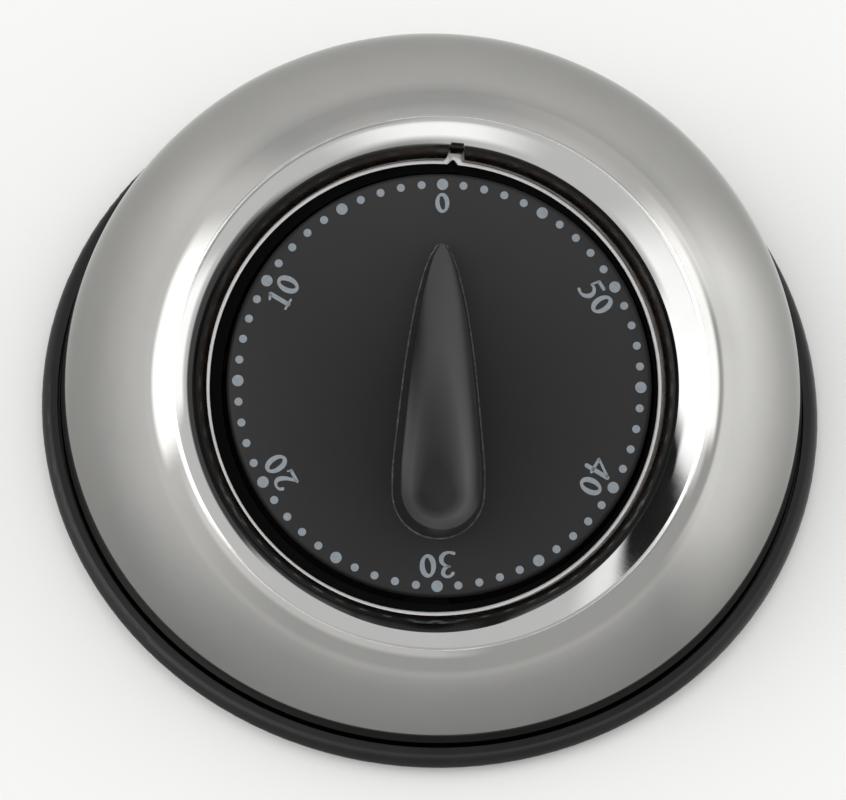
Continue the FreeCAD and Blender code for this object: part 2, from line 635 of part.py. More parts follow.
# ---- the whole timer ----
def all_parts():
    upright = {"base": base(), "foot_pads": foot_pads(), "base_screws": base_screws(),
               "dome_shell": dome_shell(), "dial_carrier": dial_carrier(),
               "bell": bell(), "bell_post": bell_post(), "bell_screw": bell_screw()}
    leaning = {"dial_disc": dial_disc(), "knob_grip": knob_grip(), "grip_screws": grip_screws(),
               "main_arbor": main_arbor(), "arbor_clip": arbor_clip(), "clutch_spring": clutch_spring(),
               "trip_cam": trip_cam(), "stop_arm": stop_arm(), "stop_pin": stop_pin(),
               "front_plate": front_plate(), "rear_plate": rear_plate(), "plate_pillars": pillars(),
               "plate_screws": plate_screws(), "movement_screws": movement_screws(),
               "mainspring": mainspring(), "escape_wheel": escape_wheel(),
               "pallet_lever": pallet_lever(), "pallet_pins": pallet_pins(), "pallet_staff": staff(PALLET_SPOT),
               "inertia_bar": inertia_bar(), "hammer_staff": hammer_staff(), "hammer_arm": hammer_arm(),
               "hammer_head": hammer_head(), "hammer_tail": hammer_tail(), "hammer_spring": hammer_spring()}
    leaning.update(train())
    upright.update({name: tilted(shape) for name, shape in leaning.items()})
    return upright


os.makedirs("parts", exist_ok=True)
for node, shape in sorted(all_parts().items()):
    shape.exportStep(os.path.join("parts", node + ".step"))
    box = shape.BoundBox
    print(node, "solids", len(shape.Solids), "valid", shape.isValid(), "volume", round(shape.Volume, 2),
          "z", round(box.ZMin, 2), round(box.ZMax, 2))
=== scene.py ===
import json
import math

import bmesh
import bpy
from mathutils import Matrix, Vector


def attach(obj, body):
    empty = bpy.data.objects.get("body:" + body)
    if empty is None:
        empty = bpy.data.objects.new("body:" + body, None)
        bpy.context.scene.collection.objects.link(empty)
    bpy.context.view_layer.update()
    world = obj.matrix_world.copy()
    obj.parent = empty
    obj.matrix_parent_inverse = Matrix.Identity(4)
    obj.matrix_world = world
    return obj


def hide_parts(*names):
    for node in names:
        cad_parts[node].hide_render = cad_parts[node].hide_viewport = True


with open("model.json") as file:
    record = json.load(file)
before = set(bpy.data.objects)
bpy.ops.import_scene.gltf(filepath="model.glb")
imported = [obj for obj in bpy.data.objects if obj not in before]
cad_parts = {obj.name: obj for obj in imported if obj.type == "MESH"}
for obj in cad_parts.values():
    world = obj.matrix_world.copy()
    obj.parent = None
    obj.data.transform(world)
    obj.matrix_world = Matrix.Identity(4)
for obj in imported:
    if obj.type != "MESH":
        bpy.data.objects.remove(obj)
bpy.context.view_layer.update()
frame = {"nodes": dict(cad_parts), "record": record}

# The timer's looks, in metres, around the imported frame.
# Round parts are drawn in dial coordinates, whose Z is the dial axis from the shell's centre,
# and then tilted towards the front like the dial itself.

MM = 0.001

# ---- sizes shared with the frame, in millimetres ----
DIAL_TILT = math.radians(20.0)
SHELL_CENTRE_Z = -1.4
SHELL_RADIUS = 43.1
SHELL_SHEET = 0.5
SHELL_FOOT_Z = 2.3
CREST_RADIUS = 3.9
WELL_RADIUS = 24.5
LIP_LEVEL = 24.0
LIP_REACH = 0.42
# The pressed well sits a little off the dial's axis, as on the real one: sideways and towards the back.
WELL_OFFSET = (-0.45, 0.0)
# How much wider the well is than the frame's, all round and along its length.
WELL_EASE = 0.12
WELL_STRETCH = 0.06
# The offset of the top of the well's wall; it fades out over the crest.
BEND_OFFSET = (-0.32, -0.13)
DIAL_FACE = 27.2
DIAL_RADIUS = 22.7
DIAL_REST_TURN = math.radians(2.2)
DOT_CIRCLE = 21.5

TILT = Matrix.Translation((0, 0, SHELL_CENTRE_Z * MM)) @ Matrix.Rotation(DIAL_TILT, 4, "X")
DIAL_TURNED = TILT @ Matrix.Rotation(DIAL_REST_TURN, 4, "Z")


# ---- mesh helpers ----
def polar(radius, angle, centre=(0.0, 0.0)):
    return (centre[0] + radius * math.cos(angle), centre[1] + radius * math.sin(angle))


def arc_points(radius, start, end, count, centre=(0.0, 0.0)):
    """Points of an arc in the profile plane, angles in degrees."""
    steps = [math.radians(start + (end - start) * i / (count - 1)) for i in range(count)]
    return [polar(radius, angle, centre) for angle in steps]


def smooth_step(value, low, high):
    t = min(max((value - low) / (high - low), 0.0), 1.0)
    return t * t * (3.0 - 2.0 * t)


def new_object(name, mesh, sharp_degrees=35.0):
    mesh.shade_smooth()
    mesh.set_sharp_from_angle(angle=math.radians(sharp_degrees))
    obj = bpy.data.objects.new(name, mesh)
    bpy.context.scene.collection.objects.link(obj)
    return obj


def object_from(name, bm, sharp_degrees=30.0):
    """An object from an editable mesh with its faces turned outward."""
    bmesh.ops.recalc_face_normals(bm, faces=bm.faces)
    mesh = bpy.data.meshes.new(name)
    bm.to_mesh(mesh)
    bm.free()
    return new_object(name, mesh, sharp_degrees)


def mesh_from(name, points, faces, matrix, sharp_degrees=35.0):
    """An object from points in millimetres and faces, placed by a matrix."""
    mesh = bpy.data.meshes.new(name)
    mesh.from_pydata([matrix @ (Vector(p) * MM) for p in points], [], faces)
    mesh.update()
    return new_object(name, mesh, sharp_degrees)


def grid_faces(columns, rows, close_rows):
    """Quads of a grid whose columns close round; its rows close too if asked."""
    faces = []
    for c in range(columns):
        n = (c + 1) % columns
        for r in range(rows if close_rows else rows - 1):
            m = (r + 1) % rows
            faces.append((c * rows + r, n * rows + r, n * rows + m, c * rows + m))
    return faces


def lathe(name, profile, matrix, segments=256, sharp_degrees=35.0):
    """A closed (radius, height) outline turned about Z."""
    points = []
    for c in range(segments):
        angle = 2 * math.pi * c / segments
        points += [(r * math.cos(angle), r * math.sin(angle), z) for r, z in profile]
    return mesh_from(name, points, grid_faces(segments, len(profile), True), matrix, sharp_degrees)


def prism_mesh(bm, outline, holes, low, high, matrix):
    """Adds a thin flat solid on a closed outline with optional holes."""
    loops = []
    for ring in [outline] + holes:
        verts = [bm.verts.new(matrix @ (Vector((x, y, high)) * MM)) for x, y in ring]
        edges = [bm.edges.new((verts[i], verts[(i + 1) % len(verts)])) for i in range(len(verts))]
        loops.append((verts, edges))
    filled = bmesh.ops.triangle_fill(bm, use_beauty=True, use_dissolve=False,
                                     edges=[edge for _, edges in loops for edge in edges])
    drop = (matrix.to_3x3() @ Vector((0, 0, low - high))) * MM
    faces = [g for g in filled["geom"] if isinstance(g, bmesh.types.BMFace)]
    made = bmesh.ops.extrude_face_region(bm, geom=faces)
    moved = [g for g in made["geom"] if isinstance(g, bmesh.types.BMVert)]
    bmesh.ops.translate(bm, verts=moved, vec=drop)


# ---- materials ----
# Painted reflection on the dial: the middle of its darker part, and how far from it the painted lighter layer
# starts and is full.
PAINTED_DARK_SPOT = tuple(TILT @ (Vector((-1.5, -5.0, DIAL_FACE)) * MM))
PAINTED_LIGHT_REACH = (0.006, 0.027)
DUST = (0.16, 0.155, 0.15, 1)
# The colour of the painted lighter layer on the dial: painted reflected light.
PAINTED_LIGHT_COLOUR = (0.026, 0.026, 0.0275, 1)
# Grime in the well: its colour, the depths behind the wall's face between which it ends, and its roughness.
STAIN = (0.21, 0.165, 0.13, 1)
STAIN_EDGE = (0.4, 0.9)
STAIN_ROUGHNESS = 0.24
# Where a glancing sheen starts and ends in the shader's facing value, and across the grip in metres.
SHEEN_FACING = (0.011, 0.05)
SHEEN_ACROSS = (-0.003, 0.003)
# The inputs of a colour mix node.
MIX_FACTOR, MIX_FIRST, MIX_SECOND = 0, 6, 7


class Nodes:
    """A short way to write node graphs."""

    def __init__(self, name):
        self.material = bpy.data.materials.new(name)
        self.material.use_nodes = True
        self.tree = self.material.node_tree
        self.shader = self.tree.nodes["Principled BSDF"]
        self.place = self.tree.nodes.new("ShaderNodeTexCoord").outputs["Object"]

    def add(self, kind, inputs=(), **settings):
        node = self.tree.nodes.new(kind)
        for key, value in settings.items():
            setattr(node, key, value)
        for key, value in dict(inputs).items():
            self.feed(node.inputs[key], value)
        return node

    def calc(self, operation, *values):
        return self.add("ShaderNodeMath", dict(enumerate(values)), operation=operation).outputs[0]

    def feed(self, socket, value):
        if isinstance(value, bpy.types.NodeSocket):
            self.tree.links.new(value, socket)
        else:
            socket.default_value = value

    def noise(self, scale, detail=3.0, roughness=0.55, stretch=None):
        place = self.place
        if stretch:
            place = self.add("ShaderNodeMapping", {"Vector": place, "Scale": stretch}).outputs[0]
        inputs = {"Vector": place, "Scale": scale, "Detail": detail, "Roughness": roughness}
        return self.add("ShaderNodeTexNoise", inputs).outputs["Fac"]

    def span(self, value, low, high, from_low=0.0, from_high=1.0):
        """Maps a value's range to another, clamped."""
        return self.add("ShaderNodeMapRange", {"Value": value, "From Min": from_low, "From Max": from_high,
                                               "To Min": low, "To Max": high}).outputs[0]

    def mix(self, factor, first, second):
        node = self.add("ShaderNodeMix", data_type="RGBA")
        self.feed(node.inputs[MIX_FACTOR], factor)
        self.feed(node.inputs[MIX_FIRST], first)
        self.feed(node.inputs[MIX_SECOND], second)
        return node.outputs[2]

    def bump(self, height, strength, distance):
        return self.add("ShaderNodeBump", {"Height": height, "Strength": strength,
                                           "Distance": distance}).outputs[0]

    def specks(self, scale, size, share):
        """Sparse round specks: 1 inside a speck, 0 outside."""
        cells = self.add("ShaderNodeTexVoronoi", {"Vector": self.place, "Scale": scale})
        near = self.span(cells.outputs["Distance"], 1.0, 0.0, size * 0.6, size)
        pick = self.span(cells.outputs["Color"], 0.0, 1.0, 1.0 - share, 1.0 - share + 0.01)
        return self.calc("MULTIPLY", near, pick)

    def set(self, **values):
        for key, value in values.items():
            self.feed(self.shader.inputs[key.replace("_", " ")], value)
        return self.material


def well_stain(n):
    """Uneven dull grime on the wall of the dial's well, found by the distance from the well's axis."""
    middle = TILT @ (Vector((WELL_OFFSET[0], WELL_OFFSET[1], 0.0)) * MM)
    axis = TILT.to_3x3() @ Vector((0, 0, 1))
    arm = n.add("ShaderNodeVectorMath", {0: n.place, 1: middle}, operation="SUBTRACT").outputs[0]
    across = n.add("ShaderNodeVectorMath", {0: arm, 1: axis}, operation="CROSS_PRODUCT").outputs[0]
    reach = n.add("ShaderNodeVectorMath", {0: across}, operation="LENGTH").outputs["Value"]
    near, far = [(WELL_RADIUS + edge) * MM for edge in STAIN_EDGE]
    wall = n.span(reach, 1.0, 0.0, near, far)
    uneven = n.span(n.noise(420.0, 4.0), 0.75, 1.0, 0.35, 0.6)
    return n.calc("MULTIPLY", wall, uneven)


def polished_steel():
    """Bright pressed steel with faint smudges and a grimy well."""
    n = Nodes("polished_steel")
    smudge = n.noise(90.0, 5.0, 0.6)
    fine = n.noise(1500.0, 3.0, 0.6)
    rough = n.calc("ADD", n.span(smudge, 0.0, 0.07, 0.52, 0.78), n.span(fine, 0.03, 0.06))
    colour = n.mix(n.span(smudge, 0.0, 1.0, 0.4, 0.7), (0.485, 0.482, 0.470, 1), (0.460, 0.458, 0.448, 1))
    stain = well_stain(n)
    colour = n.mix(stain, colour, STAIN)
    rough = n.calc("MULTIPLY_ADD", stain, STAIN_ROUGHNESS, rough)
    return n.set(Base_Color=colour, Metallic=1.0, Roughness=rough, Specular_Tint=(0.62, 0.62, 0.61, 1),
                 Normal=n.bump(smudge, 0.01, 0.0004))


def black_plastic(name, light, dark, roughness, grain, dust, bump, specular=0.36, painted_light=False, sheen=None):
    """Moulded black plastic with a fine grain, uneven gloss and a little dust.

    dust gives the specks' scale, size and share; sheen the gloss seen face on and at a glance; the dial's
    flag lays on a painted lighter layer over a darker middle, a painted reflection.
    """
    n = Nodes(name)
    cloud = n.noise(160.0, 4.0)
    colour = n.mix(n.span(cloud, 0.0, 1.0, 0.35, 0.7), dark, light)
    # painted reflection: a lighter layer towards the dial's edges and back over a darker middle
    if painted_light:
        colour = painted_dial_light(n, colour)
    colour = n.mix(n.specks(*dust), colour, DUST)
    fine = n.noise(grain, 2.0, 0.6)
    rough = n.calc("ADD", n.span(cloud, -0.05, 0.06), n.span(fine, roughness - 0.04, roughness + 0.04))
    if sheen:
        facing = n.add("ShaderNodeLayerWeight").outputs["Facing"]
        across = n.add("ShaderNodeSeparateXYZ", {0: n.place}).outputs[0]
        specular = n.calc("MULTIPLY", n.span(facing, *sheen, *SHEEN_FACING),
                          n.span(across, 0.45, 1.0, *SHEEN_ACROSS))
    return n.set(Base_Color=colour, Roughness=rough, Normal=n.bump(fine, bump, 0.00005),
                 Specular_IOR_Level=specular)


def dusty_edge():
    """Fine dust caught along an edge."""
    n = Nodes("dusty_edge")
    cloud = n.noise(1500.0, 4.0, 0.7)
    colour = n.mix(n.span(cloud, 0.0, 1.0, 0.42, 0.68), (0.025, 0.025, 0.027, 1), (0.11, 0.11, 0.115, 1))
    return n.set(Base_Color=colour, Roughness=n.span(cloud, 0.5, 0.7), Normal=n.bump(cloud, 0.2, 0.00003))


def painted_dial_light(n, colour):
    """A lighter layer painted over the dial towards its edges and back, kept off a darker middle: painted
    reflected light and shade, made uneven.
    """
    reach = n.add("ShaderNodeVectorMath", {0: n.place, 1: PAINTED_DARK_SPOT}, operation="DISTANCE").outputs["Value"]
    painted_light = n.span(reach, 0.0, 1.0, *PAINTED_LIGHT_REACH)
    uneven = n.calc("MULTIPLY", painted_light, n.span(n.noise(70.0), 0.7, 1.2))
    return n.mix(uneven, colour, PAINTED_LIGHT_COLOUR)


def print_ink():
    """The dial's pale print, a little mottled."""
    n = Nodes("print_ink")
    mottle = n.noise(2600.0, 3.0)
    colour = n.mix(n.span(mottle, 0.0, 1.0, 0.3, 0.7), (0.205, 0.235, 0.262, 1), (0.255, 0.285, 0.312, 1))
    return n.set(Base_Color=colour, Roughness=n.span(mottle, 0.45, 0.65),
                 Normal=n.bump(mottle, 0.15, 0.00003))


def metal(name, first, second, roughness, stretch, scale=900.0):
    """Stamped or turned metal with fine marks along one way."""
    n = Nodes(name)
    marks = n.noise(scale, 3.0, 0.6, stretch)
    stain = n.noise(140.0, 3.0)
    colour = n.mix(n.span(stain, 0.0, 1.0, 0.3, 0.7), first, second)
    return n.set(Base_Color=colour, Metallic=1.0, Roughness=n.span(marks, roughness - 0.08, roughness + 0.1),
                 Normal=n.bump(marks, 0.08, 0.00003))


def rubber():
    """Dark matt rubber."""
    n = Nodes("soft_rubber")
    cloud = n.noise(500.0, 4.0)
    colour = n.mix(n.span(cloud, 0.0, 1.0, 0.3, 0.7), (0.02, 0.02, 0.02, 1), (0.034, 0.033, 0.032, 1))
    return n.set(Base_Color=colour, Roughness=n.span(cloud, 0.7, 0.9), Normal=n.bump(cloud, 0.3, 0.0001))


steel = polished_steel()
rim_steel = metal("rim_steel", (0.47, 0.465, 0.455, 1), (0.56, 0.55, 0.54, 1), 0.34, (1, 1, 1), 2200.0)
case_plastic = black_plastic(
    "case_plastic", light=(0.006, 0.006, 0.0062, 1), dark=(0.0035, 0.0035, 0.004, 1),
    roughness=0.34, grain=2600.0, dust=(700.0, 0.05, 0.05), bump=0.10)
dial_plastic = black_plastic(
    "dial_plastic", light=(0.0045, 0.0045, 0.005, 1), dark=(0.0030, 0.0030, 0.0034, 1),
    roughness=0.42, grain=5200.0, dust=(900.0, 0.10, 0.05), bump=0.18, specular=0.20, painted_light=True)
grip_plastic = black_plastic(
    "grip_plastic", light=(0.0065, 0.0065, 0.0072, 1), dark=(0.0045, 0.0045, 0.005, 1),
    roughness=0.36, grain=4200.0, dust=(900.0, 0.07, 0.03), bump=0.16, sheen=(0.28, 1.0))
carrier_plastic = black_plastic(
    "carrier_plastic", light=(0.005, 0.005, 0.0052, 1), dark=(0.003, 0.003, 0.0034, 1),
    roughness=0.55, grain=2600.0, dust=(800.0, 0.07, 0.04), bump=0.12, specular=0.05)
ink = print_ink()
# By the frame's material slots.
MATERIALS = {
    "black_plastic": case_plastic,
    "dial_plastic": dial_plastic,
    "grip_plastic": grip_plastic,
    "rubber": rubber(),
    "polished_steel": steel,
    "bell_steel": metal("spun_steel", (0.46, 0.46, 0.45, 1), (0.56, 0.56, 0.55, 1), 0.28, (1, 1, 9)),
    "zinc_steel": metal("zinc_plate", (0.50, 0.51, 0.50, 1), (0.60, 0.60, 0.57, 1), 0.34, (1, 1, 1)),
    "plate_steel": metal("sheet_steel", (0.42, 0.42, 0.42, 1), (0.52, 0.52, 0.51, 1), 0.36, (12, 1, 1)),
    "spring_steel": metal("blued_spring", (0.20, 0.22, 0.27, 1), (0.28, 0.29, 0.32, 1), 0.30, (1, 1, 10)),
    "arbor_steel": metal("turned_steel", (0.48, 0.48, 0.47, 1), (0.58, 0.58, 0.57, 1), 0.24, (1, 1, 12)),
    "brass": metal("stamped_brass", (0.62, 0.44, 0.18, 1), (0.74, 0.56, 0.27, 1), 0.30, (6, 1, 1)),
}


def dress(obj, material):
    obj.data.materials.clear()
    obj.data.materials.append(material)


def finish_piece(obj, body, slot, material, *nodes):
    """Gives a new piece its material and body, and hides the frame nodes that it stands for."""
    dress(obj, material)
    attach(obj, body)
    if nodes:
        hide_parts(*nodes)
    return obj


# ---- the steel shell ----
# The pressed index notch at the wall and at the lip's edge: half width at its foot, at its end, depth.
NIB_OUTSIDE = (1.05, 0.60, 0.86)
NIB_INSIDE = (0.66, 0.02, 0.52)
# Its rounding as a share of its depth, its share of depth at the wall's top, its place along the wall.
NIB_BLEND = 1.7
NIB_TOP_SHARE = 0.62
NIB_PLACE = 0.28
# Degrees to each side of the nib with fine columns, and the steps in the fine and the coarse part.
NIB_SIDE = 5.0
FINE_STEPS = 120
COARSE_STEPS = 374
# Where over the crest the well's offset ends and is full, as shares of the crest's radius from the wall.
OFFSET_FADE = (0.1, 0.95)
LIP_EDGE = WELL_RADIUS - LIP_REACH
LIP_BEAD = 0.10
# The satin band on the lip: how far it stands over the lip and reaches below it.
RIM_RISE = 0.02
RIM_DEPTH = 0.06


def nib_reach(column, shape):
    """How far the notch pushes an edge outward at an angle from the nib."""
    half_foot, half_end, depth = shape
    arc_length = abs(math.remainder(column, 2 * math.pi) * WELL_RADIUS + NIB_PLACE - WELL_OFFSET[0])
    return depth * (1.0 - smooth_step(arc_length, half_end, half_foot))


def soft_max(first, second, blend):
    """The larger of two numbers, rounded where they meet."""
    gap = max(blend - abs(first - second), 0.0) / blend
    return max(first, second) + gap * gap * blend / 4.0


def shell_columns():
    """Angles round the dial axis from the nib, dense at the nib."""
    fine_span = 2 * NIB_SIDE
    fine = [math.radians(-NIB_SIDE + fine_span * i / FINE_STEPS) for i in range(FINE_STEPS + 1)]
    coarse_span = 360.0 - fine_span
    coarse = [math.radians(NIB_SIDE + coarse_span * i / COARSE_STEPS) for i in range(1, COARSE_STEPS)]
    return fine + coarse


def crest_centre():
    """Radius and level of the middle of the rounded crest."""
    radius = WELL_RADIUS + CREST_RADIUS
    return radius, math.sqrt((SHELL_RADIUS - CREST_RADIUS) ** 2 - radius ** 2)


def foot_angle(radius, column):
    """The polar angle from the dial axis at which the sphere reaches the foot's level."""
    across = math.sin(DIAL_TILT) * math.cos(column)
    along = math.cos(DIAL_TILT)
    reach = (SHELL_FOOT_Z - SHELL_CENTRE_Z) / radius
    return math.atan2(across, along) + math.acos(reach / math.hypot(along, across))


def shell_side(sheet, crest_rows, sphere_rows, column):
    """(radius, level) from the top of the well's wall over the crest to the foot, on one side."""
    crest_r, crest_w = crest_centre()
    join = math.degrees(math.atan2(crest_w, crest_r))
    tube = CREST_RADIUS - sheet
    sphere = SHELL_RADIUS - sheet
    rows = arc_points(tube, 180.0, join, crest_rows, (crest_r, crest_w))
    foot = 90.0 - math.degrees(foot_angle(sphere, column))
    return rows + arc_points(sphere, join, foot, sphere_rows)[1:]


def shell_section(column):
    """(radius, level) round the sheet at an angle, from the lip's edge, and the level of the wall's top."""
    outer = shell_side(0.0, 56, 64, column)
    inner = shell_side(SHELL_SHEET, 20, 24, column)
    wall_top = outer[0][1]
    levels = [LIP_LEVEL + (wall_top - LIP_LEVEL) * i / 12 for i in range(1, 12)]
    wall = [(WELL_RADIUS, level) for level in levels]
    bead = arc_points(LIP_BEAD, 190.0, 90.0, 5, (LIP_EDGE + LIP_BEAD, LIP_LEVEL - LIP_BEAD))
    lip = ([(LIP_EDGE, LIP_LEVEL - 0.40)] + bead
           + [(WELL_RADIUS - 0.05, LIP_LEVEL), (WELL_RADIUS, LIP_LEVEL + 0.05)])
    back = [(WELL_RADIUS + SHELL_SHEET, level) for level in levels[::-3]]
    under = [(WELL_RADIUS + SHELL_SHEET, LIP_LEVEL - 0.25), (WELL_RADIUS + 0.25, LIP_LEVEL - SHELL_SHEET),
             (LIP_EDGE + 0.05, LIP_LEVEL - SHELL_SHEET)]
    return lip + wall + outer + inner[::-1] + back + under, wall_top


def pressed(radius, level, column, wall_top):
    """Where a place on the sheet lies once the well is shifted, eased and notched."""
    full, none = [WELL_RADIUS + share * CREST_RADIUS for share in OFFSET_FADE]
    bend = 1.0 - smooth_step(radius, full, none)
    low = 1.0 - smooth_step(level, LIP_LEVEL + 0.4, wall_top)
    east, north = [(a * low + b * (1.0 - low)) * bend for a, b in zip(WELL_OFFSET, BEND_OFFSET)]
    ease = WELL_EASE * low * bend
    r = radius + ease
    if bend > 0.0:
        notch = nib_reach(column, NIB_INSIDE if radius < LIP_EDGE + 0.2 else NIB_OUTSIDE)
        depth = notch * (NIB_TOP_SHARE + (1.0 - NIB_TOP_SHARE) * low)
        if level < LIP_LEVEL + 0.1:
            r += notch
        elif depth > 0.0:
            r = soft_max(r, WELL_RADIUS + ease + depth, NIB_BLEND * depth)
    stretched = r + WELL_STRETCH * low * bend
    return (east - r * math.sin(column), north + stretched * math.cos(column), level)


def dome_shell():
    """The pressed shell: a sheet of even thickness with its well, lip and index notch."""
    columns = shell_columns()
    points = []
    for column in columns:
        section, wall_top = shell_section(column)
        points += [pressed(radius, level, column, wall_top) for radius, level in section]
    return mesh_from("dome", points, grid_faces(len(columns), len(section), True), TILT, 50.0)


def rim_edge():
    """The sheet's cut edge: a narrow satin band round the well that rises into the index notch."""
    columns = shell_columns()
    points = []
    for column in columns:
        inner = LIP_EDGE + WELL_EASE - 0.02 + nib_reach(column, NIB_INSIDE)
        outer = WELL_RADIUS + WELL_EASE + 0.01 + nib_reach(column, NIB_OUTSIDE)
        ring = ((inner, -RIM_DEPTH), (inner + 0.01, 0.0), (inner + 0.04, RIM_RISE), (outer, RIM_RISE),
                (outer, -RIM_DEPTH))
        for r, rise in ring:
            across = WELL_OFFSET[0] - r * math.sin(column)
            along = WELL_OFFSET[1] + (r + WELL_STRETCH) * math.cos(column)
            points.append((across, along, LIP_LEVEL + rise))
    return mesh_from("rim_edge", points, grid_faces(len(columns), len(ring), True), TILT, 50.0)


finish_piece(dome_shell(), "case", "polished_steel", steel, "dome_shell")
finish_piece(rim_edge(), "case", "polished_steel", rim_steel)


# ---- the dial ----
def dial_disc():
    """The dial as one turned solid: face, rounded edge, skirt, inside and hub."""
    edge = arc_points(0.5, 0.0, 90.0, 8, (DIAL_RADIUS - 0.5, DIAL_FACE - 0.5))
    face = [(r, DIAL_FACE) for r in (21.0, 16.0, 11.0, 6.0, 2.0, 0.01)]
    inside = [(0.01, 25.5), (2.02, 25.5), (2.02, 21.3), (4.5, 21.3), (4.6, 21.4), (4.6, 25.2), (4.8, 25.4),
              (21.1, 25.4), (21.3, 25.2), (21.3, 22.7), (21.4, 22.6), (22.6, 22.6), (DIAL_RADIUS, 22.7)]
    return lathe("dial", edge + face + inside, DIAL_TURNED, 256, 40.0)


finish_piece(dial_disc(), "dial", "dial_plastic", dial_plastic, "dial_disc")


# ---- the printed scale ----
INK_LOW = DIAL_FACE - 0.01
INK_HIGH = DIAL_FACE + 0.018
SMALL_DOT = 0.43
LARGE_DOT = 0.61
DIGIT_HEIGHT = 2.48
DIGIT_BASE = 0.843 * DOT_CIRCLE
# The lone zero is smaller than the other figures and stands nearer the dots.
ZERO_SIZE = 0.87
ZERO_SHIFT = 0.9


def circle(radius, centre, count=28):
    return [polar(radius, 2 * math.pi * i / count, centre) for i in range(count)]


def ellipse(width, height, centre, lean, count=40):
    """An upright ellipse whose axis leans by an angle."""
    points = []
    for i in range(count):
        angle = 2 * math.pi * i / count
        x = width / 2 * math.cos(angle)
        y = height / 2 * math.sin(angle)
        points.append((centre[0] + x * math.cos(lean) - y * math.sin(lean),
                       centre[1] + x * math.sin(lean) + y * math.cos(lean)))
    return points


def spline(points, per_span=8):
    """A smooth line through points, each a tuple of numbers."""
    out = []
    for i in range(len(points) - 1):
        a, b = points[max(i - 1, 0)], points[i]
        c, d = points[i + 1], points[min(i + 2, len(points) - 1)]
        for s in range(per_span):
            t = s / per_span
            out.append(tuple(0.5 * (2 * q + (r - p) * t + (2 * p - 5 * q + 4 * r - w) * t * t
                                    + (3 * q - p - 3 * r + w) * t ** 3)
                             for p, q, r, w in zip(a, b, c, d)))
    out.append(points[-1])
    return out


def ribbon(stroke):
    """The outline of a pen stroke given as (x, y, width) along its middle, with rounded ends."""
    line = spline(stroke) if len(stroke) > 2 else list(stroke)
    left, right = [], []
    for i, (x, y, width) in enumerate(line):
        before, after = line[max(i - 1, 0)], line[min(i + 1, len(line) - 1)]
        heading = math.atan2(after[1] - before[1], after[0] - before[0])
        for side, points in ((1, left), (-1, right)):
            points.append(polar(width / 2, heading + side * math.pi / 2, (x, y)))
    ends = []
    for (x, y, width), (px, py, _) in ((line[-1], line[-2]), (line[0], line[1])):
        heading = math.atan2(y - py, x - px)
        ends.append([polar(width / 2, heading - side, (x, y)) for side in (0.8, 0.0, -0.8)])
    return right + ends[0] + left[::-1] + ends[1]


# Strokes of each figure, from its baseline in units of its height: (x, y, pen width) along the path.
STROKES = {
    "1": (((0.27, 0.05, 0.19), (0.27, 0.92, 0.19)), ((0.04, 0.05, 0.10), (0.50, 0.05, 0.10)),
          ((0.05, 0.84, 0.10), (0.25, 0.93, 0.13))),
    "2": (((0.09, 0.77, 0.15), (0.16, 0.90, 0.12), (0.33, 0.95, 0.10), (0.50, 0.86, 0.16), (0.53, 0.68, 0.20),
           (0.42, 0.44, 0.17), (0.24, 0.22, 0.13), (0.09, 0.09, 0.10)),
          ((0.07, 0.075, 0.14), (0.60, 0.075, 0.14)), ((0.60, 0.08, 0.09), (0.65, 0.22, 0.06))),
    "3": (((0.08, 0.80, 0.15), (0.19, 0.92, 0.12), (0.36, 0.95, 0.12), (0.50, 0.83, 0.17), (0.47, 0.65, 0.17),
           (0.34, 0.54, 0.12), (0.22, 0.51, 0.09)),
          ((0.24, 0.51, 0.09), (0.42, 0.47, 0.13), (0.57, 0.32, 0.18), (0.58, 0.12, 0.20),
           (0.44, -0.04, 0.15), (0.24, -0.09, 0.11), (0.06, -0.05, 0.15))),
    "4": (((0.56, 0.93, 0.19), (0.56, -0.10, 0.19)), ((0.06, 0.22, 0.13), (0.70, 0.22, 0.13)),
          ((0.52, 0.90, 0.12), (0.07, 0.24, 0.10))),
    "5": (((0.20, 0.88, 0.14), (0.58, 0.90, 0.15)), ((0.19, 0.88, 0.10), (0.15, 0.55, 0.09)),
          ((0.15, 0.53, 0.09), (0.31, 0.56, 0.12), (0.49, 0.45, 0.17), (0.54, 0.24, 0.20), (0.43, 0.04, 0.16),
           (0.24, -0.06, 0.11), (0.06, -0.04, 0.14))),
}
FIGURE_WIDTH = {"0": 0.70, "1": 0.52, "2": 0.68, "3": 0.68, "4": 0.76, "5": 0.64}
FIGURE_GAP = 0.13


def figure_shapes(figure):
    """[(outline, holes)] of a figure in units of its height."""
    if figure == "0":
        return [(ellipse(0.70, 1.0, (0.35, 0.5), 0.0), [ellipse(0.27, 0.70, (0.35, 0.5), math.radians(9))])]
    return [(ribbon(stroke), []) for stroke in STROKES[figure]]


